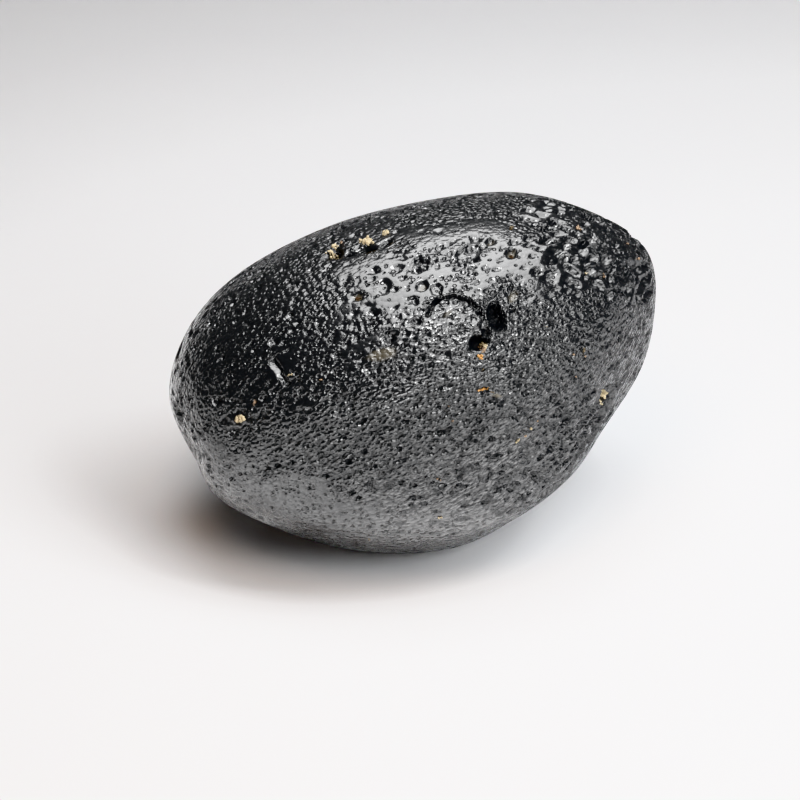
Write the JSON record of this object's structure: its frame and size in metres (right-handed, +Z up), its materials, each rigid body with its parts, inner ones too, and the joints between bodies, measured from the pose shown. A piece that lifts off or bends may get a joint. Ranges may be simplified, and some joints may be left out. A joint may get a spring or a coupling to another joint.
{
  "type": "indochinite tektite",
  "caption": "Egg-shaped lump of pitted black natural glass, a splash-form tektite, fuller at one end, resting on a small worn flat under its belly.",
  "frame": {"origin": "bottom centre of the stone's box, in the plane of its worn rest face", "axes": "+X along the long axis towards the fuller, raised end; +Z up; the glossy pitted brow faces -Y"},
  "size_m": [0.0606, 0.0414, 0.0422],
  "materials": {
    "tektite_glass": "gloss",
    "dried_soil": "matte"
  },
  "bodies": {
    "root": {"tektite": "tektite_glass"}
  },
  "joints": []
}
